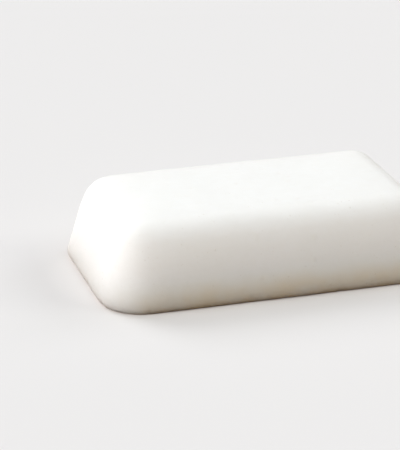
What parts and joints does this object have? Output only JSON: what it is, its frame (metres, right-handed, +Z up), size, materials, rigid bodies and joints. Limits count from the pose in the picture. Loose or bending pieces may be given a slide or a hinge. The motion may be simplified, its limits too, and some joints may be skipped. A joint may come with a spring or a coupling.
{
  "type": "gymnastics chalk block",
  "caption": "Low loaf-shaped bar of pressed chalk with inward-leaning sides, round corners, a soft top rim and a flat underside to rest on.",
  "frame": {"origin": "centre of the flat underside", "axes": "+X along the length of the bar, +Y across its width, +Z up out of the flat top"},
  "size_m": [0.097, 0.058, 0.0231],
  "materials": {
    "chalk": "matte, faintly waxy white, fine powdery grain"
  },
  "bodies": {
    "root": {"chalk_block": "chalk"}
  },
  "joints": []
}
